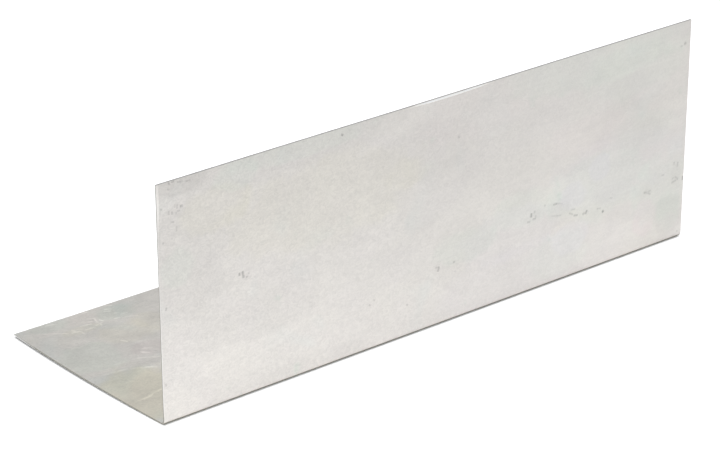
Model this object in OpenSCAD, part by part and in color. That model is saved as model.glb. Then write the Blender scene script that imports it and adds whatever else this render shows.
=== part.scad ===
// Step flashing: one rectangle of mill-finish sheet aluminium, folded once along its length.
// The roof leg lies flat on the ground, and the wall leg stands up from its front edge.
// X runs along the fold, Y from the wall leg to the free edge of the roof leg, and Z up.
// The origin is the middle of the roof leg's underside. All lengths are in millimetres.

/* [Sheet] */
// Length of the sheet, along the fold
sheet_length = 177.8; // [75:0.1:305]
// Thickness of the sheet
sheet_thickness = 0.48; // [0.3:0.01:1.2]
// Flat width of the sheet on the roof side of the fold line
roof_side = 63.5; // [25:0.5:150]
// Flat width of the sheet on the wall side of the fold line
wall_side = 63.5; // [25:0.5:150]

/* [Fold] */
// Angle between the two legs
fold_angle = 90; // [75:1:135]
// Radius on the inside of the fold
inside_radius = 1; // [0.3:0.1:4]
// Depth of the unstretched layer, as a share of the thickness from the inside of the fold
neutral_layer = 0.42; // [0.33:0.01:0.5]

/* [Hidden] */
$fn = 96;
bare_aluminium = [0.86, 0.85, 0.83];
half_turn = 180;

// How far the wall leg is turned up out of the flat sheet.
fold_turn = half_turn - fold_angle;
outside_radius = inside_radius + sheet_thickness;
// Length of the sheet that the fold takes up, measured along the unstretched layer.
fold_allowance = PI * fold_turn / half_turn * (inside_radius + neutral_layer * sheet_thickness);
roof_flat = roof_side - fold_allowance / 2;
wall_flat = wall_side - fold_allowance / 2;
// Distance from the start of the fold to the corner that the two outer faces would meet in.
fold_setback = outside_radius * tan(fold_turn / 2);
roof_leg_width = roof_flat + fold_setback;

// A strip of the sheet as it lies flat, seen from its end, between two distances from the fold.
// Its top and bottom are the sheet's inner and outer faces, under the fold's centre.
module flat_strip(from, to) {
    translate([from, -outside_radius])
        square([to - from, sheet_thickness]);
}

// The half of the plane that lies on one side of the fold's centre, as far as the fold reaches.
module half_plane(side) {
    reach = 2 * outside_radius;
    translate([side < 0 ? -reach : 0, -reach])
        square([reach, 2 * reach]);
}

// The fold itself: its inner and outer faces are round about one centre. It fills the slice
// between the roof leg's start and the wall leg's, which is turned with that leg.
module fold_arc() {
    intersection() {
        difference() {
            circle(r = outside_radius);
            circle(r = inside_radius);
        }
        half_plane(-1);
        rotate(-fold_turn)
            half_plane(1);
    }
}

// The end of the folded sheet, about the fold's centre: the wall side is turned up from flat.
module folded_section() {
    flat_strip(0, roof_flat);
    fold_arc();
    rotate(-fold_turn)
        flat_strip(-wall_flat, 0);
}

// The whole flashing, in one piece, with square sheared ends.
module flashing() {
    color(bare_aluminium)
        translate([0, fold_setback - roof_leg_width / 2, outside_radius])
            rotate([90, 0, 90])
                linear_extrude(height = sheet_length, center = true)
                    folded_section();
}

flashing();
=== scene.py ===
"""Step flashing: one rectangle of mill-finish sheet aluminium, folded once along its length.

The roof leg lies on the floor, and the wall leg stands up from its front edge. The folded sheet is
one piece, drawn as its outer face, given its thickness, and settled by the small unevenness of a
piece that has been sheared, folded and handled. All lengths are in metres unless a name says mm.
"""

import logging
import math
from collections.abc import Iterator
from dataclasses import dataclass, field
from enum import Enum

import bmesh
import bpy
from mathutils import Matrix, Vector, noise


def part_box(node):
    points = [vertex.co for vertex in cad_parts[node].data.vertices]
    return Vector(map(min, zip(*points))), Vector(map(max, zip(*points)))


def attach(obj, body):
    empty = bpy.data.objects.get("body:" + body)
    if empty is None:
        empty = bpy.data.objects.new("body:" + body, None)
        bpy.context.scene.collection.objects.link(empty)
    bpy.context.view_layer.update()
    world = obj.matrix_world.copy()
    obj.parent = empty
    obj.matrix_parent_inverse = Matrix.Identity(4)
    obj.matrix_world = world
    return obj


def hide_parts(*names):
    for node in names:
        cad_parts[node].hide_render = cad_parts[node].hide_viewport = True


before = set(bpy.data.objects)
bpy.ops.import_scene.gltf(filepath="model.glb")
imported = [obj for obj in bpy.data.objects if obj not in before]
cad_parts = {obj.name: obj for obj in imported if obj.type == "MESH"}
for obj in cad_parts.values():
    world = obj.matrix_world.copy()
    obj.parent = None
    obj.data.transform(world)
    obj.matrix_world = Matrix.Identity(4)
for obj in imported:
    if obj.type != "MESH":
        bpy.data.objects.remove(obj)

MM = 0.001
NODE = "flashing"
BODY = "root"
DEPTH_LAYER = "depth"
BEND_LAYER = "bend"

# How many waves of each noise fit in a metre.
FLECK_WAVES = 1150.0
WARMTH_WAVES = 62.0
ROSE_WAVES = 75.0
HAZE_WAVES = 80.0
GRIT_WAVES = 2200.0
BLOTCH_WAVES = 180.0
WEAR_WAVES = 420.0
TEAR_WAVES = 700.0
TORN_GRAIN_WAVES = 5000.0

# How a noise is stretched or moved before it is read, along the sheet first.
FLECK_STRETCH = (0.8, 1.0, 1.0)
STREAK_STRETCH = (30.0, 1300.0, 1300.0)
ROSE_SHIFT = (0.3, 0.7, 0.1)
HAZE_STRETCH = (0.8, 1.3, 1.3)

# Two limits each, between which something changes smoothly.
WARMTH_LIMITS = (0.4, 0.6)
ROSE_LIMITS = (0.42, 0.62)
HAZE_LIMITS = (0.3, 0.7)
MARK_LIMITS = (0.2, 0.8)
STROKE_END_LIMITS = (0.0, 0.5)
# Where the painted fold shade sets in, as shares of the fold's turn.
FOLD_SHADE_LIMITS = (0.2, 0.45)

# Two limits of a noise, and what is left of a tick or a scratch at each of them.
TICK_WEAR = (0.3, 0.6, 0.6, 1.0)
SCRATCH_WEAR = (0.4, 0.6, 0.45, 1.0)

# Places on the sheet, as shares of its thickness, of a leg's height and of a normal's length.
MIDDLE_DEPTH = 0.5
INNER_DEPTH = 0.9
LEG_END = 0.999
FACING = 0.5

# Distances that count as none.
TOUCHING = 1e-6
SAME_POINT = 1e-7

log = logging.getLogger("step_flashing")

Socket = bpy.types.NodeSocket
Value = Socket | float


class SheetSide(Enum):
    """The sides of the sheet, each with its own material slot on the mesh."""

    WEATHER = 0
    INSIDE = 1
    SHEARED = 2
    SLIT = 3


class Wiring:
    """A node tree being wired: a material's own tree, a world's, or a node group's."""

    def __init__(self, tree: bpy.types.NodeTree) -> None:
        """Starts on the tree that gets the nodes."""
        self.tree = tree

    def node(self, kind: str, **settings: object) -> bpy.types.Node:
        """Adds a node.

        Args:
            kind: The node's type name.
            settings: Its properties and their values.

        Returns:
            The new node.
        """
        made = self.tree.nodes.new(kind)
        for name, value in settings.items():
            setattr(made, name, value)
        return made

    def feed(self, socket: Socket, value: object) -> None:
        """Links a socket to an output, or sets its value.

        Args:
            socket: The input to fill.
            value: An output socket, a number or a tuple.
        """
        if isinstance(value, Socket):
            self.tree.links.new(value, socket)
        else:
            socket.default_value = value

    def math(self, operation: str, a: Value, b: Value = 0.0, clamp: bool = False) -> Socket:
        """Adds one step of arithmetic.

        Args:
            operation: The Math node's operation.
            a: The first term.
            b: The second term, where the operation has one.
            clamp: Whether the result is kept from 0 to 1.

        Returns:
            The result's socket.
        """
        made = self.node("ShaderNodeMath", operation=operation, use_clamp=clamp)
        self.feed(made.inputs[0], a)
        self.feed(made.inputs[1], b)
        return made.outputs[0]

    def spread(self, value: Value, low: Value, high: Value, to_low: Value, to_high: Value) -> Socket:
        """Turns a value between two limits smoothly into one between two others.

        Args:
            value: What is turned.
            low: The limit that gives to_low.
            high: The limit that gives to_high.
            to_low: The result at the low limit and under it.
            to_high: The result at the high limit and over it.

        Returns:
            The result's socket.
        """
        made = self.node("ShaderNodeMapRange", interpolation_type="SMOOTHSTEP")
        for socket, part in zip(made.inputs, (value, low, high, to_low, to_high)):
            self.feed(socket, part)
        return made.outputs[0]

    def tint(self, share: Value, first: object, second: object, blend: str = "MIX") -> Socket:
        """Mixes two colours.

        Args:
            share: How much of the second colour shows, from 0 to 1.
            first: A colour or a colour socket.
            second: Another.
            blend: How the second lies on the first.

        Returns:
            The mixed colour's socket.
        """
        made = self.node("ShaderNodeMix", data_type="RGBA", blend_type=blend, clamp_factor=True)
        self.feed(made.inputs["Factor"], share)
        self.feed(made.inputs[6], first)
        self.feed(made.inputs[7], second)
        return made.outputs[2]

    def vector(self, operation: str, a: object, b: object) -> Socket:
        """Adds one step of arithmetic on vectors.

        Args:
            operation: The Vector Math node's operation.
            a: The first vector.
            b: The second.

        Returns:
            The result's socket, a vector or a distance.
        """
        made = self.node("ShaderNodeVectorMath", operation=operation)
        self.feed(made.inputs[0], a)
        self.feed(made.inputs[1], b)
        return made.outputs["Value" if operation == "DISTANCE" else "Vector"]

    def scale(self, colour: object, factor: Value) -> Socket:
        """Makes a colour brighter or darker.

        Args:
            colour: The colour.
            factor: What its parts are multiplied by.

        Returns:
            The new colour's socket.
        """
        made = self.node("ShaderNodeVectorMath", operation="SCALE")
        self.feed(made.inputs[0], colour)
        self.feed(made.inputs["Scale"], factor)
        return made.outputs[0]

    def swing(self, value: Value, width: Value) -> Socket:
        """Turns a texture's value, about 0 to 1, into a change that is as wide and lies about 0."""
        return self.math("MULTIPLY", self.math("SUBTRACT", value, 0.5), width)

    def clouds(self, place: Socket, scale: Value, detail: float = 2.0, swirl: float = 0.0) -> Socket:
        """Adds a noise texture.

        Args:
            place: The coordinates that it reads.
            scale: How many of its waves fit in a metre.
            detail: How many finer layers it has.
            swirl: How much it is distorted.

        Returns:
            The noise's value socket, about 0 to 1.
        """
        made = self.node("ShaderNodeTexNoise")
        self.feed(made.inputs["Vector"], place)
        self.feed(made.inputs["Scale"], scale)
        self.feed(made.inputs["Detail"], detail)
        self.feed(made.inputs["Distortion"], swirl)
        return made.outputs[0]

    def axes(self, place: Socket) -> tuple[Socket, ...]:
        """Takes coordinates apart.

        Args:
            place: The coordinates.

        Returns:
            The sockets of X, Y and Z.
        """
        made = self.node("ShaderNodeSeparateXYZ")
        self.feed(made.inputs[0], place)
        return tuple(made.outputs)

    def group(self, tree: bpy.types.NodeTree, **values: object) -> bpy.types.Node:
        """Places a node group.

        Args:
            tree: The group.
            values: Its inputs by name, with underscores for spaces.

        Returns:
            The group's node.
        """
        made = self.node("ShaderNodeGroup", node_tree=tree)
        for name, value in values.items():
            self.feed(made.inputs[name.replace("_", " ")], value)
        return made


class Group(Wiring):
    """A shader node group with named inputs and outputs."""

    def __init__(self, name: str) -> None:
        """Starts an empty group.

        Args:
            name: The group's name.
        """
        super().__init__(bpy.data.node_groups.new(name, "ShaderNodeTree"))
        self.entry = self.node("NodeGroupInput")
        self.exit = self.node("NodeGroupOutput")

    def takes(self, name: str, default: float = 0.0) -> Socket:
        """Adds a number input.

        Args:
            name: The input's name.
            default: Its value where nothing is given.

        Returns:
            The socket that carries it inside the group.
        """
        made = self.tree.interface.new_socket(name, in_out="INPUT", socket_type="NodeSocketFloat")
        made.default_value = default
        return self.entry.outputs[name]

    def takes_place(self) -> Socket:
        """Adds the coordinates as an input and returns the socket that carries them."""
        self.tree.interface.new_socket("Place", in_out="INPUT", socket_type="NodeSocketVector")
        return self.entry.outputs["Place"]

    def gives(self, name: str, value: Socket) -> None:
        """Adds a number output and links the value to it."""
        self.tree.interface.new_socket(name, in_out="OUTPUT", socket_type="NodeSocketFloat")
        self.tree.links.new(value, self.exit.inputs[name])


class Surface(Wiring):
    """A material being wired: its tree, its shader, and the coordinates that its patterns read."""

    def __init__(self, name: str, metallic: float) -> None:
        """Starts a material.

        Args:
            name: The material's name.
            metallic: 1 for bare metal, and 0 for paper.
        """
        self.material = bpy.data.materials.new(name)
        self.material.use_nodes = True
        super().__init__(self.material.node_tree)
        self.shader = self.tree.nodes["Principled BSDF"]
        self.shader.inputs["Metallic"].default_value = metallic
        self.place = self.node("ShaderNodeTexCoord").outputs["Object"]

    def attribute(self, name: str) -> Socket:
        """Reads a number that the mesh carries on its vertices."""
        return self.node("ShaderNodeAttribute", attribute_name=name).outputs["Fac"]

    def feed_shader(self, input_name: str, value: object) -> None:
        """Feeds one of the shader's inputs."""
        self.feed(self.shader.inputs[input_name], value)

    def relief(self, height: Socket, depth: float) -> None:
        """Gives the surface fine relief.

        Args:
            height: The relief, from 0 up.
            depth: How far a height of 1 stands out, in metres.
        """
        bump = self.node("ShaderNodeBump")
        bump.inputs["Strength"].default_value = 1.0
        bump.inputs["Distance"].default_value = depth
        self.feed(bump.inputs["Height"], height)
        self.feed_shader("Normal", bump.outputs["Normal"])


@dataclass(frozen=True)
class Patterns:
    """The effects that the finishes share, each built once as a node group."""

    grain: bpy.types.NodeTree
    mottle: bpy.types.NodeTree
    mark: bpy.types.NodeTree
    stroke: bpy.types.NodeTree


def grain_group() -> bpy.types.NodeTree:
    """Builds the skin of rolled sheet: fine curly flecks, and faint lines along the sheet.

    Returns:
        A group that gives Flecks and Streaks, both about 0 to 1.
    """
    group = Group("rolled_skin")
    place = group.takes_place()
    stretched = group.vector("MULTIPLY", place, FLECK_STRETCH)
    curls = group.clouds(stretched, FLECK_WAVES, detail=1.5, swirl=1.3)
    lines = group.clouds(group.vector("MULTIPLY", place, STREAK_STRETCH), 1.0)
    group.gives("Flecks", curls)
    group.gives("Streaks", lines)
    return group.tree


def mottle_group() -> bpy.types.NodeTree:
    """Builds the soft cloudiness of bare aluminium.

    Returns:
        A group that gives Warmth, Rose and Haze, each from 0 to 1.
    """
    group = Group("mottle")
    place = group.takes_place()
    lean = group.takes("Lean")
    warmth = group.math("ADD", group.clouds(place, WARMTH_WAVES, detail=1.5, swirl=0.5), lean)
    rose = group.clouds(group.vector("ADD", place, ROSE_SHIFT), ROSE_WAVES, detail=1.0, swirl=0.4)
    stretched = group.vector("MULTIPLY", place, HAZE_STRETCH)
    haze = group.clouds(stretched, HAZE_WAVES, detail=3.0, swirl=0.6)
    group.gives("Warmth", group.spread(warmth, *WARMTH_LIMITS, 0.0, 1.0))
    group.gives("Rose", group.spread(rose, *ROSE_LIMITS, 0.0, 1.0))
    group.gives("Haze", group.spread(haze, *HAZE_LIMITS, 0.0, 1.0))
    return group.tree


def mark_group() -> bpy.types.NodeTree:
    """Builds one oval mark with a soft, ragged outline, on a leg's own two coordinates.

    Returns:
        A group that gives Mask, up to its Strength in the mark and 0 away from it.
    """
    group = Group("mark")
    x, y, _ = group.axes(group.takes_place())
    along = group.math("SUBTRACT", x, group.takes("X"))
    along = group.math("DIVIDE", along, group.takes("Width", MM))
    upward = group.math("SUBTRACT", y, group.takes("Y"))
    upward = group.math("DIVIDE", upward, group.takes("Height", MM))
    along_squared = group.math("MULTIPLY", along, along)
    upward_squared = group.math("MULTIPLY", upward, upward)
    core = group.spread(group.math("ADD", along_squared, upward_squared), 0.0, 1.0, 1.0, 0.0)
    torn = group.swing(group.takes("Grit", 0.5), group.takes("Ragged", 1.2))
    mask = group.spread(group.math("ADD", core, torn), *MARK_LIMITS, 0.0, 1.0)
    group.gives("Mask", group.math("MULTIPLY", mask, group.takes("Strength", 1.0)))
    return group.tree


def stroke_group() -> bpy.types.NodeTree:
    """Builds one bowed stroke with fading ends, on a leg's own two coordinates.

    Returns:
        A group that gives Mask, up to its Strength on the stroke and 0 away from it.
    """
    group = Group("stroke")
    x, y, _ = group.axes(group.takes_place())
    from_start_x = group.math("SUBTRACT", x, group.takes("X"))
    from_start_y = group.math("SUBTRACT", y, group.takes("Y"))
    run = group.takes("Run", 1.0)
    rise = group.takes("Rise")
    forward_x = group.math("MULTIPLY", from_start_x, run)
    forward_y = group.math("MULTIPLY", from_start_y, rise)
    aside_x = group.math("MULTIPLY", from_start_x, rise)
    aside_y = group.math("MULTIPLY", from_start_y, run)
    share = group.math("DIVIDE", group.math("ADD", forward_x, forward_y), group.takes("Length", MM))
    aside = group.math("SUBTRACT", aside_y, aside_x)
    to_end = group.math("SUBTRACT", 1.0, share)
    hump = group.math("MULTIPLY", group.math("MULTIPLY", share, to_end), 4.0)
    bowed = group.math("MULTIPLY", hump, group.takes("Bow"))
    off_line = group.math("ABSOLUTE", group.math("SUBTRACT", aside, bowed))
    line = group.spread(off_line, 0.0, group.takes("Breadth", 0.3 * MM), 1.0, 0.0)
    mask = group.math("MULTIPLY", line, group.spread(hump, *STROKE_END_LIMITS, 0.0, 1.0))
    group.gives("Mask", group.math("MULTIPLY", mask, group.takes("Strength", 1.0)))
    return group.tree


@dataclass(frozen=True)
class Mark:
    """An oval mark on one leg, along the fold and away from it, in mm from the part's origin."""

    x_mm: float
    y_mm: float
    width_mm: float
    height_mm: float
    strength: float = 1.0
    ragged: float = 1.2

    def show(self, wiring: Wiring, patterns: Patterns, place: Socket, grit: Socket) -> Socket:
        """Places the mark.

        Args:
            wiring: The material's wiring.
            patterns: The shared groups.
            place: The leg's own coordinates.
            grit: The noise that tears the mark's outline.

        Returns:
            The mark's mask.
        """
        made = wiring.group(
            patterns.mark,
            Place=place,
            Grit=grit,
            X=self.x_mm * MM,
            Y=self.y_mm * MM,
            Width=self.width_mm * MM,
            Height=self.height_mm * MM,
            Ragged=self.ragged,
            Strength=self.strength,
        )
        return made.outputs["Mask"]


@dataclass(frozen=True)
class Tinting:
    """Patches where the metal is multiplied by one colour."""

    colour: tuple[float, float, float, float]
    marks: tuple[Mark, ...]


@dataclass(frozen=True)
class Stroke:
    """A scratch or a tick from one point of a leg to another, in mm from the part's origin."""

    start_mm: tuple[float, float]
    end_mm: tuple[float, float]
    breadth_mm: float = 0.35
    strength: float = 0.5
    bow_mm: float = 0.0

    def show(self, wiring: Wiring, patterns: Patterns, place: Socket) -> Socket:
        """Places the stroke.

        Args:
            wiring: The material's wiring.
            patterns: The shared groups.
            place: The leg's own coordinates.

        Returns:
            The stroke's mask.
        """
        length = math.dist(self.start_mm, self.end_mm)
        made = wiring.group(
            patterns.stroke,
            Place=place,
            X=self.start_mm[0] * MM,
            Y=self.start_mm[1] * MM,
            Run=(self.end_mm[0] - self.start_mm[0]) / length,
            Rise=(self.end_mm[1] - self.start_mm[1]) / length,
            Length=length * MM,
            Bow=self.bow_mm * MM,
            Breadth=self.breadth_mm * MM,
            Strength=self.strength,
        )
        return made.outputs["Mask"]


@dataclass(frozen=True)
class MillFinish:
    """Bare rolled aluminium on one side of the sheet: its colours, its sheen and its marks.

    The marks are placed on one leg, whose own axis away from the fold is leg_axis and which lies at
    leg_level_mm on the other axis. Past the fold they run on as on the flat sheet. The metal is mixed
    from warm and cool, with a lean towards warm, and with a little rose. Past the wall leg it is
    multiplied by fold_shade, a painted shade: on the weather side it darkens and warms the underside
    of the fold, where the floor's shade falls, and on the inside it darkens the roof leg by a tenth.
    Fleck says how strong the flecks are at the near end and at the far end.
    """

    name: str
    leg_axis: int
    leg_level_mm: float
    warm: tuple[float, float, float, float]
    cool: tuple[float, float, float, float]
    rose: tuple[float, float, float, float]
    lean: float
    fleck: tuple[float, float]
    haze: float
    roughness: float
    grain_depth: float
    fold_shade: tuple[float, float, float, float]
    ticks: tuple[Stroke, ...] = ()
    scratches: tuple[Stroke, ...] = ()
    glints: tuple[Mark, ...] = ()
    tintings: tuple[Tinting, ...] = ()
    rose_share: float = 0.35
    streak: float = 0.04
    tick_shade: float = -0.41
    glint_light: float = 0.2
    scratch_light: float = 0.29
    haze_roughness: float = 0.06
    tick_roughness: float = 0.2

    @staticmethod
    def strongest(wiring: Wiring, masks: Iterator[Socket]) -> Value:
        """Joins masks, each as soon as it is made, so that the shader holds few values at once.

        Args:
            wiring: The material's wiring.
            masks: The masks.

        Returns:
            The highest of them at each place.
        """
        joined: Value = 0.0
        for mask in masks:
            joined = wiring.math("MAXIMUM", mask, joined)
        return joined

    def on_leg(self, wiring: Wiring, axes: tuple[Socket, ...]) -> Socket:
        """Lays the coordinates out on the leg, along the fold and away from it.

        Args:
            wiring: The material's wiring.
            axes: X, Y and Z.

        Returns:
            The leg's own coordinates.
        """
        leg = wiring.node("ShaderNodeCombineXYZ")
        wiring.feed(leg.inputs[0], axes[0])
        # The leg's own axis is 1 or 2, for Y or Z, and the other of the two is 3 less it.
        off_leg = wiring.math("SUBTRACT", axes[3 - self.leg_axis], self.leg_level_mm * MM)
        wiring.feed(leg.inputs[1], wiring.math("SUBTRACT", axes[self.leg_axis], off_leg))
        return leg.outputs[0]

    def wear(self, surface: Surface, patterns: Patterns, leg_place: Socket) -> tuple[Value, ...]:
        """Places the ticks, the glints and the scratches.

        Args:
            surface: The material's wiring.
            patterns: The shared groups.
            leg_place: The leg's own coordinates.

        Returns:
            The masks of the ticks, of the glints and of the scratches.
        """
        grit = surface.clouds(surface.place, GRIT_WAVES)
        pits = self.strongest(surface, (tick.show(surface, patterns, leg_place) for tick in self.ticks))
        pits = surface.math("MULTIPLY", pits, surface.spread(grit, *TICK_WEAR))
        glints = (glint.show(surface, patterns, leg_place, grit) for glint in self.glints)
        shine = self.strongest(surface, glints)
        cuts = self.strongest(surface, (cut.show(surface, patterns, leg_place) for cut in self.scratches))
        worn = surface.spread(surface.clouds(surface.place, WEAR_WAVES), *SCRATCH_WEAR)
        return pits, shine, surface.math("MULTIPLY", cuts, worn)

    def tinted(self, surface: Surface, patterns: Patterns, leg_place: Socket, metal: Socket) -> Socket:
        """Lays the tintings over the metal: blotches of its own tone, smudges, painted shade and painted
        light.

        Args:
            surface: The material's wiring.
            patterns: The shared groups.
            leg_place: The leg's own coordinates.
            metal: The clean metal's colour.

        Returns:
            The stained metal's colour.
        """
        blotches = surface.clouds(surface.place, BLOTCH_WAVES)
        for tinting in self.tintings:
            for mark in tinting.marks:
                mask = mark.show(surface, patterns, leg_place, blotches)
                metal = surface.tint(mask, metal, tinting.colour, blend="MULTIPLY")
        return metal

    def material(self, patterns: Patterns, half_length: float) -> bpy.types.Material:
        """Builds the material.

        Args:
            patterns: The shared groups.
            half_length: Half of the sheet's length, in metres.

        Returns:
            The material.
        """
        surface = Surface(self.name, metallic=1.0)
        axes = surface.axes(surface.place)
        leg_place = self.on_leg(surface, axes)
        pits, shine, cuts = self.wear(surface, patterns, leg_place)

        grain = surface.group(patterns.grain, Place=surface.place)
        mottle = surface.group(patterns.mottle, Place=surface.place, Lean=self.lean)
        metal = surface.tint(mottle.outputs["Warmth"], self.cool, self.warm)
        rosy = surface.math("MULTIPLY", mottle.outputs["Rose"], self.rose_share)
        metal = surface.tint(rosy, metal, self.rose)
        metal = self.tinted(surface, patterns, leg_place, metal)

        fleck = surface.spread(axes[0], -half_length, half_length, *self.fleck)
        brightness = surface.math("ADD", 1.0, surface.swing(grain.outputs["Flecks"], fleck))
        brightness = surface.math("ADD", brightness, surface.swing(grain.outputs["Streaks"], self.streak))
        brightness = surface.math("ADD", brightness, surface.swing(mottle.outputs["Haze"], self.haze))
        # The ticks darken the metal, the glints add painted highlights and the scratches lighten it.
        changes = ((pits, self.tick_shade), (shine, self.glint_light), (cuts, self.scratch_light))
        for mask, change in changes:
            brightness = surface.math("ADD", brightness, surface.math("MULTIPLY", mask, change))
        # Painted shade: past the wall leg the metal is multiplied by fold_shade, darkest under the fold.
        fold_shade_share = surface.spread(surface.attribute(BEND_LAYER), *FOLD_SHADE_LIMITS, 0.0, 1.0)
        metal = surface.tint(fold_shade_share, metal, self.fold_shade, blend="MULTIPLY")
        surface.feed_shader("Base Color", surface.scale(metal, brightness))

        hazy = surface.swing(mottle.outputs["Haze"], self.haze_roughness)
        roughness = surface.math("ADD", self.roughness, hazy)
        pitted = surface.math("MULTIPLY", pits, self.tick_roughness)
        surface.feed_shader("Roughness", surface.math("ADD", roughness, pitted, clamp=True))
        height = surface.math("ADD", grain.outputs["Flecks"], grain.outputs["Streaks"])
        surface.relief(height, self.grain_depth)
        return surface.material


@dataclass(frozen=True)
class CutFinish:
    """A cut edge of the sheet: burnished next to the outer face, torn and dull behind it.

    The burnished part gets wider by free_corner_light_share towards the free corner of the roof leg,
    between the two places free_corner_light_mm on Y, and by wall_light_share up the wall leg, between
    the two places wall_light_mm on Z. These widenings are painted shade: the cut is darker near the
    floor and lighter where it stands off it.
    """

    name: str
    burnished: tuple[float, float, float, float]
    torn: tuple[float, float, float, float]
    burnished_share: float
    free_corner_light_mm: tuple[float, float] = (18.0, 30.0)
    free_corner_light_share: float = 0.65
    wall_light_mm: tuple[float, float] = (1.5, 6.0)
    wall_light_share: float = 0.0
    ragged: float = 0.3
    softness: float = 0.08
    roughness: tuple[float, float] = (0.3, 0.6)
    torn_depth: float = 0.03 * MM

    def material(self) -> bpy.types.Material:
        """Builds the material.

        Returns:
            The material.
        """
        surface = Surface(self.name, metallic=1.0)
        tears = surface.clouds(surface.place, TEAR_WAVES, detail=3.0)
        edge = surface.math("ADD", surface.attribute(DEPTH_LAYER), surface.swing(tears, self.ragged))
        axes = surface.axes(surface.place)
        # Painted shade: lighter up the wall leg and towards the free corner, darker near the floor.
        widenings = ((1, self.free_corner_light_mm, self.free_corner_light_share), (2, self.wall_light_mm, self.wall_light_share))
        for axis, places_mm, share in widenings:
            low, high = (at * MM for at in places_mm)
            wider = surface.spread(axes[axis], low, high, 0.0, share)
            edge = surface.math("SUBTRACT", edge, wider)
        torn_from = self.burnished_share - self.softness
        torn_to = self.burnished_share + self.softness
        torn = surface.spread(edge, torn_from, torn_to, 0.0, 1.0)
        surface.feed_shader("Base Color", surface.tint(torn, self.burnished, self.torn))
        surface.feed_shader("Roughness", surface.spread(torn, 0.0, 1.0, *self.roughness))
        torn_grain = surface.clouds(surface.place, TORN_GRAIN_WAVES)
        surface.relief(surface.math("MULTIPLY", torn, torn_grain), self.torn_depth)
        return surface.material


@dataclass(frozen=True)
class Handling:
    """How far the real piece is from a perfect fold, in metres."""

    corner_lift: float = 0.52 * MM
    roof_end_lift: float = 0.15 * MM
    wall_end_skew: float = 0.8 * MM
    roof_end_skew: float = 0.8 * MM
    roof_end_bow: float = 0.83 * MM
    wall_bow: float = 0.22 * MM
    roof_bow: float = 0.12 * MM
    burr: float = 0.03 * MM
    burr_length: float = 1.2 * MM
    wave_length: float = 70.0 * MM
    seed: float = 4.7


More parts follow.
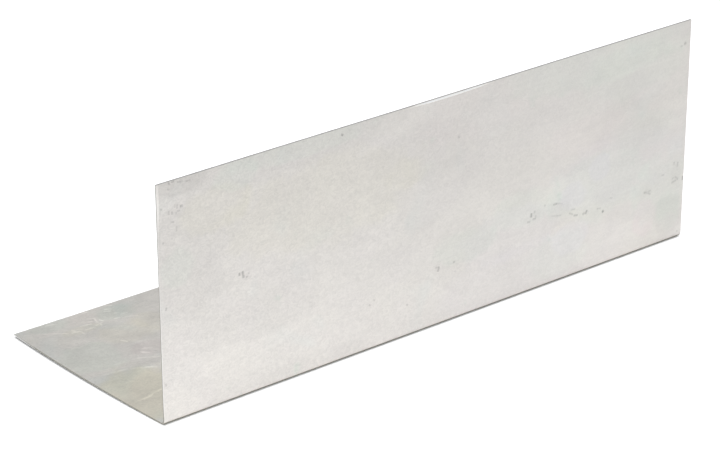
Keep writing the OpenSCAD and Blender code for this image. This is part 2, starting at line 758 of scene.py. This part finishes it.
@dataclass
class StepFlashing:
    """The folded sheet, with its sizes taken from the frame's box."""

    low: Vector
    high: Vector
    thickness: float = 0.48 * MM
    inside_radius: float = 1.0 * MM
    fold_steps: int = 12
    cell: float = 1.6 * MM
    rollover: float = 0.09 * MM
    rim_rows: tuple[float, ...] = (0.2 * MM, 0.45 * MM, 0.9 * MM)
    handling: Handling = field(default_factory=Handling)

    @property
    def outside_radius(self) -> float:
        """The radius of the fold's outer face."""
        return self.inside_radius + self.thickness

    @property
    def fold_centre(self) -> Vector:
        """The middle of the fold's arc, at the middle of the sheet's length."""
        return Vector((0.0, self.low.y + self.outside_radius, self.low.z + self.outside_radius))

    @property
    def length(self) -> float:
        """The sheet's length along the fold."""
        return self.high.x - self.low.x

    def cuts(self, distance: float) -> int:
        """How many cuts divide a distance into cells."""
        return max(1, round(distance / self.cell) - 1)

    def section(self, bm: bmesh.types.BMesh) -> None:
        """Draws the outer face's line as it is seen from the near end.

        Args:
            bm: The mesh, still empty.
        """
        centre = self.fold_centre.copy()
        centre.x = self.low.x
        bmesh.ops.spin(
            bm,
            geom=[bm.verts.new(centre - Vector((0.0, 0.0, self.outside_radius)))],
            cent=centre,
            axis=(1.0, 0.0, 0.0),
            angle=-math.pi / 2,
            steps=self.fold_steps,
        )
        leg_ends = {
            min(bm.verts, key=lambda v: v.co.z): Vector((self.low.x, self.high.y, self.low.z)),
            max(bm.verts, key=lambda v: v.co.z): Vector((self.low.x, self.low.y, self.high.z)),
        }
        drawn = bmesh.ops.extrude_vert_indiv(bm, verts=list(leg_ends))
        for end, target in zip(drawn["verts"], leg_ends.values()):
            end.co = target
        reach = max(edge.calc_length() for edge in drawn["edges"])
        bmesh.ops.subdivide_edges(bm, edges=drawn["edges"], cuts=self.cuts(reach))

    def draw_out(self, bm: bmesh.types.BMesh) -> None:
        """Draws the section out to the sheet's length and divides it.

        Args:
            bm: The mesh with the section's line.
        """
        drawn = bmesh.ops.extrude_edge_only(bm, edges=bm.edges[:])
        moved = [item for item in drawn["geom"] if isinstance(item, bmesh.types.BMVert)]
        bmesh.ops.translate(bm, verts=moved, vec=(self.length, 0.0, 0.0))
        lengthwise = [e for e in bm.edges if abs(e.verts[0].co.x - e.verts[1].co.x) > self.length / 2]
        bmesh.ops.subdivide_edges(bm, edges=lengthwise, cuts=self.cuts(self.length), use_grid_fill=True)
        for row in self.rim_rows:
            self.slice(bm, Vector((self.low.x + row, 0.0, 0.0)), Vector((1.0, 0.0, 0.0)))
            self.slice(bm, Vector((self.high.x - row, 0.0, 0.0)), Vector((1.0, 0.0, 0.0)))
            self.slice(bm, Vector((0.0, 0.0, self.high.z - row)), Vector((0.0, 0.0, 1.0)))
            self.slice(bm, Vector((0.0, self.high.y - row, 0.0)), Vector((0.0, 1.0, 0.0)))

    @staticmethod
    def slice(bm: bmesh.types.BMesh, point: Vector, normal: Vector) -> None:
        """Cuts a row of edges where the plane through a point passes, and removes nothing."""
        whole = bm.verts[:] + bm.edges[:] + bm.faces[:]
        bmesh.ops.bisect_plane(bm, geom=whole, dist=SAME_POINT, plane_co=point, plane_no=normal)

    def thicken(self, bm: bmesh.types.BMesh) -> None:
        """Gives the sheet its thickness, inwards from the outer face, and sorts its sides.

        Args:
            bm: The mesh of the outer face.
        """
        bm.normal_update()
        facing_in = [f for f in bm.faces if f.normal.y + f.normal.z > 0.0]
        if facing_in:
            bmesh.ops.reverse_faces(bm, faces=bm.faces[:])
        bmesh.ops.solidify(bm, geom=bm.faces[:], thickness=self.thickness)
        bmesh.ops.recalc_face_normals(bm, faces=bm.faces[:])
        for f in bm.faces:
            depths = [self.depth_of(v.co) for v in f.verts]
            if max(depths) < MIDDLE_DEPTH:
                f.material_index = SheetSide.WEATHER.value
            elif min(depths) > MIDDLE_DEPTH:
                f.material_index = SheetSide.INSIDE.value
            elif abs(f.normal.x) > FACING:
                f.material_index = SheetSide.SHEARED.value
            else:
                f.material_index = SheetSide.SLIT.value

    def depth_of(self, place: Vector) -> float:
        """How deep a point lies in the sheet: 0 on the outer face and 1 on the inner one.

        Args:
            place: A point of the perfect fold.

        Returns:
            The depth as a share of the thickness.
        """
        centre = self.fold_centre
        if place.y > centre.y:
            depth = place.z - self.low.z
        elif place.z > centre.z:
            depth = place.y - self.low.y
        else:
            depth = self.outside_radius - math.hypot(place.y - centre.y, place.z - centre.z)
        return depth / self.thickness

    def bend_of(self, place: Vector) -> float:
        """How far round the fold a point lies: 0 at the wall leg and 1 at the roof leg.

        Args:
            place: A point of the perfect fold.

        Returns:
            The share of the fold's turn.
        """
        centre = self.fold_centre
        if place.z >= centre.z:
            return 0.0
        if place.y >= centre.y:
            return 1.0
        return math.atan2(centre.z - place.z, centre.y - place.y) / (math.pi / 2)

    def is_cut(self, place: Vector) -> bool:
        """Tells whether a point lies on one of the cut edges.

        Args:
            place: A point of the perfect fold.

        Returns:
            True on a cut edge.
        """
        off_end = min(place.x - self.low.x, self.high.x - place.x)
        off_leg = self.high.z - place.z if place.z > self.fold_centre.z else self.high.y - place.y
        return min(off_end, off_leg) < TOUCHING

    def round_rim(self, bm: bmesh.types.BMesh) -> None:
        """Rolls the outer face over where the shears entered it.

        Args:
            bm: The closed mesh.
        """
        weather = SheetSide.WEATHER.value
        cut = {SheetSide.SHEARED.value, SheetSide.SLIT.value}
        beside = {e: {f.material_index for f in e.link_faces} for e in bm.edges}
        entered = [e for e, sides in beside.items() if weather in sides and sides & cut]
        bmesh.ops.bevel(
            bm,
            geom=entered,
            offset=self.rollover,
            affect="EDGES",
            segments=3,
            profile=0.5,
            material=-1,
            clamp_overlap=True,
        )

    def write_layers(self, bm: bmesh.types.BMesh) -> None:
        """Writes depth and bend on every vertex, for the materials.

        Args:
            bm: The mesh of the perfect fold.
        """
        depth = bm.verts.layers.float.new(DEPTH_LAYER)
        bend = bm.verts.layers.float.new(BEND_LAYER)
        for v in bm.verts:
            v[depth] = self.depth_of(v.co)
            v[bend] = self.bend_of(v.co)

    def settle(self, bm: bmesh.types.BMesh) -> None:
        """Moves the perfect fold to where shearing and handling have left it.

        Args:
            bm: The mesh, with its layers written.
        """
        handling = self.handling
        half = self.length / 2
        depth = bm.verts.layers.float[DEPTH_LAYER]
        for v in bm.verts:
            across = max(0.0, v.co.y - self.fold_centre.y) / (self.high.y - self.fold_centre.y)
            upward = max(0.0, v.co.z - self.fold_centre.z) / (self.high.z - self.fold_centre.z)
            wave = noise.noise(Vector((v.co.x / handling.wave_length, upward + across, handling.seed)))
            near = max(0.0, -v.co.x / half) ** 2
            if v[depth] > INNER_DEPTH and self.is_cut(v.co):
                tear = noise.noise(v.co / handling.burr_length)
                outward = handling.burr * (0.5 + 0.5 * tear)
                if upward > LEG_END:
                    v.co.z += outward
                elif across > LEG_END:
                    v.co.y += outward
                else:
                    v.co.x += math.copysign(outward, v.co.x)
            v.co.x -= near * (handling.wall_end_skew * upward + handling.roof_end_skew * across)
            hump = 4.0 * across * (1.0 - across)
            v.co.x -= near * handling.roof_end_bow * hump
            v.co.y += handling.wall_bow * wave * upward
            v.co.z += near * (handling.corner_lift * across + handling.roof_end_lift * hump)
            v.co.z += handling.roof_bow * (0.5 + 0.5 * wave) * math.sin(math.pi * across)

    def build(self) -> bpy.types.Object:
        """Builds the folded sheet.

        Returns:
            Its object, at the origin, with its place in its mesh.
        """
        bm = bmesh.new()
        self.section(bm)
        self.draw_out(bm)
        self.thicken(bm)
        self.round_rim(bm)
        self.write_layers(bm)
        self.settle(bm)
        for f in bm.faces:
            f.smooth = True
        for e in bm.edges:
            sides = {f.material_index for f in e.link_faces}
            e.smooth = len(sides) == 1 or SheetSide.WEATHER.value in sides
        mesh = bpy.data.meshes.new("folded_sheet")
        bm.to_mesh(mesh)
        bm.free()
        piece = bpy.data.objects.new("folded_sheet", mesh)
        bpy.context.scene.collection.objects.link(piece)
        return piece

    def dress(self, piece: bpy.types.Object, finishes: dict[SheetSide, bpy.types.Material]) -> None:
        """Gives each side of the sheet its material."""
        for side in SheetSide:
            piece.data.materials.append(finishes[side])


@dataclass(frozen=True)
class Viewpoint:
    """The camera, by the angles at which it looks at the part."""

    azimuth_deg: float = -39.975
    elevation_deg: float = 24.053
    roll_deg: float = 0.296
    distance: float = 0.80715
    aim: tuple[float, float, float] = (-0.00022, 0.00018, 0.01738)
    lens_mm: float = 151.99
    clip: tuple[float, float] = (0.01, 50.0)

    def place(self) -> bpy.types.Object:
        """Makes the camera the scene's.

        Returns:
            The camera's object.
        """
        camera = bpy.data.cameras.new("camera")
        camera.lens = self.lens_mm
        camera.clip_start, camera.clip_end = self.clip
        holder = bpy.data.objects.new("camera", camera)
        bpy.context.scene.collection.objects.link(holder)
        azimuth = math.radians(self.azimuth_deg)
        elevation = math.radians(self.elevation_deg)
        level = math.cos(elevation)
        back = Vector((math.sin(azimuth) * level, -math.cos(azimuth) * level, math.sin(elevation)))
        turn = (-back).to_track_quat("-Z", "Y").to_matrix().to_4x4()
        roll = Matrix.Rotation(math.radians(self.roll_deg), 4, "Z")
        holder.matrix_world = Matrix.Translation(Vector(self.aim) + back * self.distance) @ turn @ roll
        bpy.context.scene.camera = holder
        return holder


@dataclass(frozen=True)
class Softbox:
    """A square soft light that faces the part, with no mirror image in the metal."""

    name: str
    place: tuple[float, float, float]
    side: float
    power: float

    def hang(self) -> bpy.types.Object:
        """Puts the light in the scene.

        Returns:
            The light's object.
        """
        lamp = bpy.data.lights.new(self.name, "AREA")
        lamp.shape = "SQUARE"
        lamp.size = self.side
        lamp.energy = self.power
        holder = bpy.data.objects.new(self.name, lamp)
        holder.location = self.place
        holder.rotation_mode = "QUATERNION"
        holder.rotation_quaternion = Vector(self.place).to_track_quat("Z", "Y")
        holder.visible_camera = False
        holder.visible_glossy = False
        bpy.context.scene.collection.objects.link(holder)
        return holder


@dataclass
class Studio:
    """A pale floor, a pale sky that is dimmer towards the horizon, and a soft light above."""

    floor_side: float = 8.0
    floor_drop: float = 0.02 * MM
    paper_roughness: float = 0.9
    paper_seen: float = 0.97
    paper_glow: float = 0.115
    paper_tint: tuple[float, float, float] = (0.99, 0.995, 1.012)
    paper_near: float = 0.855
    paper_far: float = 0.644
    bright_spot: tuple[float, float, float] = (-0.028, -0.03, 0.0)
    bright_shape: tuple[float, float, float] = (0.35, 1.0, 1.0)
    bright_reach: float = 0.1
    horizon: float = 0.555
    zenith: float = 0.87
    zenith_from: float = 0.8
    overhead: Softbox = Softbox("overhead", (-0.15, -0.35, 0.95), side=0.8, power=7.0)

    def paper(self) -> bpy.types.Material:
        """Makes the floor's white paper, which throws less light on the part away from its middle.

        Returns:
            The material.
        """
        surface = Surface("white_paper", metallic=0.0)
        surface.feed_shader("Roughness", self.paper_roughness)
        surface.feed_shader("Specular IOR Level", 0.0)
        # Painted pool of light: in the light that the paper throws on the part, its colour is lighter
        # near bright_spot and darker away from it.
        drawn_in = surface.vector("MULTIPLY", surface.place, self.bright_shape)
        away = surface.vector("DISTANCE", drawn_in, self.bright_spot)
        thrown = surface.spread(away, 0.0, self.bright_reach, self.paper_near, self.paper_far)
        seen = surface.node("ShaderNodeLightPath").outputs["Is Camera Ray"]
        brightness = surface.spread(seen, 0.0, 1.0, thrown, self.paper_seen)
        surface.feed_shader("Base Color", surface.scale(self.paper_tint, brightness))
        surface.feed_shader("Emission Strength", surface.math("MULTIPLY", seen, self.paper_glow))
        return surface.material

    def lay_floor(self) -> bpy.types.Object:
        """Lays the floor.

        Returns:
            The floor's object.
        """
        bm = bmesh.new()
        bmesh.ops.create_grid(bm, x_segments=1, y_segments=1, size=self.floor_side / 2)
        bmesh.ops.translate(bm, verts=bm.verts[:], vec=(0.0, 0.0, -self.floor_drop))
        mesh = bpy.data.meshes.new("floor")
        bm.to_mesh(mesh)
        bm.free()
        mesh.materials.append(self.paper())
        floor = bpy.data.objects.new("floor", mesh)
        bpy.context.scene.collection.objects.link(floor)
        return floor

    def light_sky(self) -> None:
        """Makes the world a plain sky, white where the camera sees it."""
        world = bpy.data.worlds.new("studio")
        world.use_nodes = True
        bpy.context.scene.world = world
        wiring = Wiring(world.node_tree)
        background = world.node_tree.nodes["Background"]
        background.inputs["Color"].default_value = (1.0, 1.0, 1.0, 1.0)
        _, _, up = wiring.axes(wiring.node("ShaderNodeTexCoord").outputs["Generated"])
        height = wiring.spread(up, 0.0, self.zenith_from, self.horizon, self.zenith)
        seen = wiring.node("ShaderNodeLightPath").outputs["Is Camera Ray"]
        wiring.feed(background.inputs["Strength"], wiring.math("MAXIMUM", height, seen))

    def set_up(self) -> None:
        """Builds the whole studio."""
        self.lay_floor()
        self.light_sky()
        self.overhead.hang()
        scene = bpy.context.scene
        scene.view_settings.view_transform = "Standard"
        scene.view_settings.look = "None"
        scene.view_settings.exposure = 0.0
        scene.view_settings.gamma = 1.0


# Dark ticks on the wall leg's outer face, and painted highlights along its rolled rim.
WALL_TICKS = (
    Stroke((-86.3, 64.0), (-85.7, 63.0), 0.5, 0.6),
    Stroke((-85.4, 63.7), (-84.4, 63.8), 0.45, 0.55),
    Stroke((-83.8, 63.2), (-81.8, 63.1), 0.4, 0.45),
    Stroke((-81.2, 62.8), (-79.5, 62.7), 0.4, 0.45),
    Stroke((-86.6, 62.2), (-85.8, 61.9), 0.45, 0.4),
    Stroke((-64.5, 34.6), (-64.1, 32.4), 0.6, 0.92),
    Stroke((-65.4, 34.4), (-65.4, 33.4), 0.6, 0.88),
    Stroke((-62.5, 33.8), (-62.5, 33.1), 0.54, 0.44),
    Stroke((-63.3, 32.9), (-63.0, 32.3), 0.48, 0.53),
    Stroke((-83.7, 57.8), (-83.8, 56.4), 0.42, 0.53),
    Stroke((-84.4, 57.8), (-84.4, 56.8), 0.42, 0.35),
    Stroke((-83.0, 56.8), (-82.0, 56.9), 0.6, 0.66),
    Stroke((-83.8, 55.9), (-82.8, 55.7), 0.42, 0.48),
    Stroke((-84.0, 55.8), (-84.1, 55.0), 0.42, 0.35),
    Stroke((-86.2, 56.6), (-86.2, 55.4), 0.48, 0.44),
    Stroke((-85.3, 56.3), (-85.3, 55.2), 0.48, 0.44),
    Stroke((-85.9, 53.6), (-84.6, 53.3), 0.42, 0.44),
    Stroke((-84.0, 52.1), (-84.1, 50.5), 0.42, 0.35),
    Stroke((-88.9, 57.5), (-88.0, 57.4), 0.48, 0.44),
    Stroke((-88.4, 48.8), (-87.8, 48.6), 0.48, 0.4),
    Stroke((-87.6, 31.8), (-87.7, 30.8), 0.48, 0.57),
    Stroke((-88.2, 11.6), (-88.2, 10.6), 0.48, 0.4),
    Stroke((-33.5, 62.4), (-32.7, 62.0), 0.6, 0.84),
    Stroke((-22.8, 14.2), (-22.0, 13.8), 0.54, 0.48),
    Stroke((-24.2, 13.2), (-23.5, 12.8), 0.48, 0.4),
    Stroke((-11.7, 9.5), (-10.9, 9.1), 0.54, 0.44),
    Stroke((5.1, 51.8), (5.9, 51.4), 0.54, 0.44),
    Stroke((-1.9, 16.9), (-0.6, 16.9), 0.48, 0.48),
    Stroke((-0.5, 17.1), (-0.9, 15.5), 0.6, 0.75),
    Stroke((4.2, 16.8), (5.1, 16.7), 0.48, 0.53),
    Stroke((4.8, 14.1), (5.3, 13.9), 0.42, 0.26),
    Stroke((31.8, 23.1), (31.6, 21.7), 0.6, 0.88),
    Stroke((32.9, 23.5), (32.8, 22.6), 0.54, 0.44),
    Stroke((33.4, 22.0), (33.3, 21.0), 0.48, 0.44),
    Stroke((33.5, 21.1), (32.1, 21.0), 0.54, 0.57),
    Stroke((30.1, 20.8), (31.5, 20.6), 0.54, 0.48),
    Stroke((36.2, 23.9), (36.9, 23.8), 0.54, 0.4),
    Stroke((39.4, 23.3), (41.3, 23.2), 0.54, 0.62),
    Stroke((41.1, 23.2), (43.2, 22.6), 0.42, 0.31),
    Stroke((38.6, 20.2), (42.9, 19.3), 0.42, 0.31),
    Stroke((45.4, 19.2), (47.2, 18.3), 0.48, 0.44),
    Stroke((47.1, 18.0), (48.9, 17.7), 0.48, 0.62),
    Stroke((46.2, 19.9), (47.9, 19.8), 0.42, 0.31),
    Stroke((50.5, 17.3), (51.4, 17.7), 0.6, 0.66),
    Stroke((51.6, 17.1), (52.2, 18.4), 0.6, 0.79),
    Stroke((55.7, 17.6), (57.6, 17.3), 0.42, 0.4),
    Stroke((57.9, 16.5), (58.4, 15.8), 0.66, 1.01),
    Stroke((60.5, 19.4), (61.7, 19.2), 0.42, 0.31),
    Stroke((73.4, 17.4), (75.0, 17.2), 0.54, 0.53),
    Stroke((74.9, 17.2), (76.3, 17.5), 0.48, 0.44),
    Stroke((74.9, 17.1), (76.3, 16.2), 0.48, 0.44),
    Stroke((80.1, 20.8), (81.2, 20.7), 0.42, 0.35),
    Stroke((85.4, 19.1), (86.8, 17.7), 0.6, 0.44),
    Stroke((84.0, 17.4), (86.2, 17.9), 0.54, 0.44),
    Stroke((84.2, 18.6), (85.5, 18.9), 0.48, 0.35),
    Stroke((86.3, 23.3), (86.2, 21.7), 0.54, 0.48),
    Stroke((84.9, 23.7), (84.9, 22.4), 0.54, 0.4),
    Stroke((88.6, 18.5), (88.5, 17.1), 0.6, 0.75),
    Stroke((87.1, 2.4), (87.7, 1.8), 0.48, 0.4),
    Stroke((86.4, 57.5), (87.3, 57.9), 0.78, 0.62),
    Stroke((85.0, 57.25), (86.0, 57.05), 0.5, 0.31),
)

# Painted highlights: a strip down the near end and a sliver along the top edge, where the rolled rim
# catches the light.
WALL_GLINTS = (
    Mark(-89.5, 59.0, 0.62, 10.0, ragged=0.5),
    Mark(2.5, 63.9, 18.0, 0.65, strength=1.7, ragged=0.3),
)

# What a tinting multiplies the metal by.
# Painted shade and warm reflection in the crease, where the roof leg meets the wall leg.
CREASE_SHADE = (0.98, 0.966, 0.88, 1.0)
TAN = (1.005, 1.0, 0.97, 1.0)
MAUVE = (0.97, 0.948, 0.957, 1.0)
ROSY = (1.0, 0.985, 0.985, 1.0)
STEEL = (0.965, 1.0, 0.985, 1.0)
LEADEN = (0.98, 1.004, 0.992, 1.0)
STRAW = (1.0, 1.0, 0.975, 1.0)
VIOLET = (0.998, 0.997, 1.022, 1.0)
PALE = (1.0, 0.998, 1.015, 1.0)
BLUSH = (1.003, 0.991, 0.997, 1.0)
PINK = (1.012, 0.985, 1.003, 1.0)
# Darker: painted shade in its wide marks and along the fold, smudges in its small marks beside the ticks,
# and darker patches elsewhere.
SHADE_AND_SMUDGE = (0.93, 0.93, 0.93, 1.0)
# Lighter: painted light in its wide marks, and lighter patches elsewhere.
LIGHT = (1.03, 1.03, 1.025, 1.0)

WALL_TINTINGS = (
    # Painted shade in the wide marks and along the fold; smudges beside the ticks.
    Tinting(SHADE_AND_SMUDGE, (
        Mark(-82.7, 63.0, 12.0, 4.5),
        Mark(-50.0, 66.0, 60.0, 13.0, strength=0.6, ragged=0.3),
        Mark(-82.0, 47.0, 18.0, 14.0, strength=0.3),
        Mark(-6.0, 50.0, 24.0, 12.0, strength=0.45),
        Mark(-42.0, 1.0, 24.0, 7.0, strength=0.4, ragged=0.3),
        Mark(12.0, 2.0, 36.0, 9.0, strength=0.4, ragged=0.3),
        Mark(7.0, 19.0, 13.0, 15.0, strength=0.45),
        Mark(68.0, 40.0, 22.0, 11.0, strength=0.5),
        Mark(22.0, 12.0, 10.0, 6.0, strength=0.3),
        Mark(-37.0, 52.0, 28.0, 6.0, strength=0.25),
        Mark(4.0, 43.0, 16.0, 6.0, strength=0.25),
        Mark(-56.0, 21.0, 22.0, 9.0, strength=0.35),
        Mark(-81.0, 33.0, 16.0, 9.0, strength=0.4),
        Mark(83.5, 8.5, 8.0, 8.0, strength=0.75),
        Mark(-84.0, 56.0, 3.5, 2.6, strength=0.3),
        Mark(33.0, 21.8, 3.0, 2.2, strength=0.4),
        Mark(42.0, 21.0, 6.0, 2.6, strength=0.25),
        Mark(75.0, 17.0, 2.6, 1.6, strength=0.35),
        Mark(85.8, 19.5, 2.8, 4.5, strength=0.5),
    )),
    # Painted light in the wide marks.
    Tinting(LIGHT, (
        Mark(-22.0, 36.0, 10.0, 6.0, strength=0.7),
        Mark(66.0, 60.0, 16.0, 9.0),
        Mark(55.0, 20.0, 75.0, 40.0, ragged=0.2),
        Mark(66.0, 5.0, 25.0, 9.0),
        Mark(50.0, 14.0, 15.0, 9.0),
        Mark(67.0, 5.0, 10.0, 7.0),
        Mark(38.0, 28.0, 9.0, 6.0),
        Mark(-88.0, 3.0, 12.0, 10.0),
        Mark(82.0, 54.0, 14.0, 9.0),
        Mark(83.5, 41.0, 9.0, 11.0, strength=0.7),
        Mark(45.0, 24.0, 13.0, 9.0, strength=0.6),
        Mark(-15.0, 12.0, 16.0, 6.5, strength=0.6),
        Mark(-68.0, 10.0, 12.0, 7.0, strength=0.6),
    )),
    Tinting(LEADEN, (
        Mark(-66.0, 60.7, 9.0, 6.0),
        Mark(-46.0, 62.5, 30.0, 4.5),
        Mark(-84.0, 41.0, 7.0, 7.0),
        Mark(56.0, 61.0, 46.0, 10.0),
        Mark(68.0, 55.0, 26.0, 11.0, strength=0.8),
        Mark(72.0, 36.0, 18.0, 8.0, strength=0.6),
        Mark(42.0, 8.0, 16.0, 9.0, strength=0.8),
        Mark(29.0, 25.0, 16.0, 8.0),
        Mark(56.0, 24.0, 26.0, 13.0),
        Mark(80.0, 17.0, 16.0, 14.0),
        Mark(8.5, 20.5, 15.0, 7.0),
    )),
    Tinting(STRAW, (
        Mark(-40.0, 46.0, 44.0, 17.0),
        Mark(-72.0, 53.0, 16.0, 8.0),
        Mark(-12.0, 46.0, 10.0, 6.0, strength=0.5),
    )),
    Tinting(VIOLET, (
        Mark(47.0, 24.0, 6.0, 5.5),
        Mark(56.5, 29.5, 6.0, 5.0),
        Mark(46.5, 12.0, 9.0, 7.0),
    )),
    Tinting(PALE, (
        Mark(35.0, 5.0, 50.0, 14.0, ragged=0.3),
        Mark(64.0, 28.0, 34.0, 14.0),
        Mark(24.0, 19.0, 26.0, 10.0),
    )),
    Tinting(BLUSH, (
        Mark(12.0, 58.0, 26.0, 12.0, strength=0.7),
        Mark(52.0, 40.0, 22.0, 8.0),
    )),
    Tinting(PINK, (Mark(74.0, 9.5, 6.0, 8.0),)),
    Tinting(STEEL, (Mark(83.5, 10.0, 6.0, 9.0, strength=0.5),)),
)

ROOF_TINTINGS = (
    # Painted shade and warm reflection in the crease at the near end.
    Tinting(CREASE_SHADE, (Mark(-82.0, -17.0, 19.0, 21.0),)),
    Tinting(SHADE_AND_SMUDGE, (
        Mark(-80.2, -12.4, 6.5, 5.5, strength=0.6),
        Mark(-72.4, 7.3, 6.0, 6.0, strength=0.7),
    )),
    Tinting(TAN, (
        Mark(-66.0, 14.5, 11.0, 8.0),
        Mark(-57.0, 16.0, 7.0, 8.0),
        Mark(-75.0, 22.8, 8.0, 3.0),
    )),
    Tinting(MAUVE, (Mark(-66.5, 3.5, 8.0, 6.0),)),
    Tinting(ROSY, (Mark(-71.0, 28.2, 7.0, 5.0),)),
    Tinting(STEEL, (
        Mark(-82.0, 8.0, 13.0, 11.0),
        Mark(-80.5, 30.0, 8.0, 5.0),
        Mark(-61.5, 26.5, 8.0, 6.0),
    )),
    Tinting(LIGHT, (
        Mark(-81.0, 21.5, 8.0, 7.0),
        Mark(-60.5, 14.5, 6.0, 6.0),
        Mark(-74.0, -6.0, 5.0, 4.0),
    )),
)

# Dark ticks and bright scratches on the roof leg's upper face.
ROOF_TICKS = (
    Stroke((-70.4, -1.3), (-69.8, -1.5), 0.35, 0.35),
    Stroke((-70.3, 26.6), (-68.5, 25.6), 0.4, 0.3),
    Stroke((-71.1, 25.1), (-69.5, 24.2), 0.4, 0.3),
)

ROOF_SCRATCHES = (
    Stroke((-70.1, 27.5), (-67.7, 26.5), 0.46, 0.8),
    Stroke((-70.9, 25.8), (-69.3, 25.2), 0.46, 0.7),
    Stroke((-67.9, 26.8), (-68.8, 21.4), 0.52, 0.8, bow_mm=-0.5),
    Stroke((-74.4, 22.2), (-70.7, 22.1), 0.52, 0.7),
    Stroke((-77.3, 24.4), (-73.7, 22.7), 0.57, 0.6),
    Stroke((-78.2, 22.7), (-75.2, 22.5), 0.52, 0.7),
    Stroke((-75.5, 22.6), (-75.4, 20.3), 0.52, 0.5),
    Stroke((-84.3, 27.2), (-78.3, 22.9), 0.46, 0.7),
    Stroke((-70.5, 22.7), (-67.7, 23.4), 0.52, 0.9),
    Stroke((-74.1, 24.8), (-70.2, 24.2), 0.57, 0.8),
    Stroke((-77.0, 24.2), (-76.0, 22.1), 0.57, 0.8),
    Stroke((-67.6, 25.3), (-67.1, 23.7), 0.52, 0.9),
    Stroke((-81.0, 30.7), (-78.1, 29.8), 0.46, 0.7),
    Stroke((-69.2, 30.8), (-67.2, 30.9), 0.57, 0.8),
    Stroke((-61.8, 31.5), (-59.7, 30.1), 0.46, 0.8),
    Stroke((-63.1, 29.6), (-61.1, 28.4), 0.52, 0.9),
    Stroke((-63.8, 28.7), (-62.0, 27.5), 0.52, 0.8),
    Stroke((-62.4, 26.0), (-60.8, 25.4), 0.52, 0.7),
    Stroke((-61.4, 24.4), (-59.0, 24.2), 0.52, 0.7),
    Stroke((-64.5, 23.2), (-62.3, 22.9), 0.52, 0.7),
    Stroke((-70.5, 11.8), (-69.3, 9.8), 0.52, 0.7),
    Stroke((-85.8, -2.1), (-78.1, -3.0), 0.8, 0.7, bow_mm=0.4),
    Stroke((-78.3, -3.1), (-71.5, -6.5), 0.8, 0.65, bow_mm=0.3),
    Stroke((-88.2, -18.6), (-83.6, -18.2), 0.57, 0.6, bow_mm=0.2),
    Stroke((-85.3, -18.4), (-82.4, -17.8), 0.69, 1.1),
    Stroke((-83.0, -18.2), (-77.8, -16.8), 0.57, 0.7, bow_mm=0.5),
    Stroke((-70.5, 3.1), (-68.5, 1.2), 0.63, 1.1),
    Stroke((-73.5, 1.0), (-67.7, -2.1), 0.52, 0.7),
    Stroke((-70.4, 5.7), (-65.3, 1.1), 0.46, 0.4),
    Stroke((-68.5, 4.6), (-66.0, 3.2), 0.46, 0.6),
    Stroke((-61.3, 22.7), (-57.9, 20.8), 0.46, 0.5),
)

WEATHER_FINISH = MillFinish(
    name="mill_finish_weather_side",
    leg_axis=2,
    leg_level_mm=-32.018,
    warm=(0.802, 0.775, 0.734, 1.0),
    cool=(0.777, 0.773, 0.736, 1.0),
    rose=(0.8, 0.768, 0.74, 1.0),
    lean=0.2,
    fleck=(0.3, 0.14),
    haze=0.05,
    roughness=0.34,
    grain_depth=0.012 * MM,
    # Painted shade, dark and warm, on the fold's underside.
    fold_shade=(0.305, 0.294, 0.215, 1.0),
    ticks=WALL_TICKS,
    glints=WALL_GLINTS,
    tintings=WALL_TINTINGS,
)
INSIDE_FINISH = MillFinish(
    name="mill_finish_inside",
    leg_axis=1,
    leg_level_mm=0.48,
    warm=(0.82, 0.797, 0.753, 1.0),
    cool=(0.79, 0.8, 0.765, 1.0),
    rose=(0.82, 0.787, 0.758, 1.0),
    lean=0.1,
    fleck=(0.28, 0.28),
    haze=0.13,
    roughness=0.34,
    grain_depth=0.012 * MM,
    # Painted shade on the inside: the roof leg is a tenth darker.
    fold_shade=(0.9, 0.9, 0.9, 1.0),
    ticks=ROOF_TICKS,
    tintings=ROOF_TINTINGS,
    scratches=ROOF_SCRATCHES,
)
SHEARED_FINISH = CutFinish(
    name="sheared_end",
    burnished=(0.8, 0.79, 0.77, 1.0),
    torn=(0.434, 0.417, 0.368, 1.0),
    burnished_share=0.22,
    wall_light_share=0.32,
)
SLIT_FINISH = CutFinish(
    name="slit_edge",
    burnished=(0.78, 0.77, 0.75, 1.0),
    torn=(0.425, 0.42, 0.402, 1.0),
    burnished_share=0.15,
)


def main() -> None:
    """Builds the part and the studio, in order."""
    logging.basicConfig(level=logging.INFO, format="%(name)s: %(message)s")
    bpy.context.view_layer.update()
    low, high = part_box(NODE)
    Viewpoint().place()
    Studio().set_up()

    patterns = Patterns(grain_group(), mottle_group(), mark_group(), stroke_group())
    flashing = StepFlashing(low, high)
    piece = flashing.build()
    flashing.dress(
        piece,
        {
            SheetSide.WEATHER: WEATHER_FINISH.material(patterns, flashing.length / 2),
            SheetSide.INSIDE: INSIDE_FINISH.material(patterns, flashing.length / 2),
            SheetSide.SHEARED: SHEARED_FINISH.material(),
            SheetSide.SLIT: SLIT_FINISH.material(),
        },
    )
    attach(piece, BODY)
    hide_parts(NODE)
    log.info("%s: %d faces", piece.name, len(piece.data.polygons))


if __name__ == "__main__":
    main()
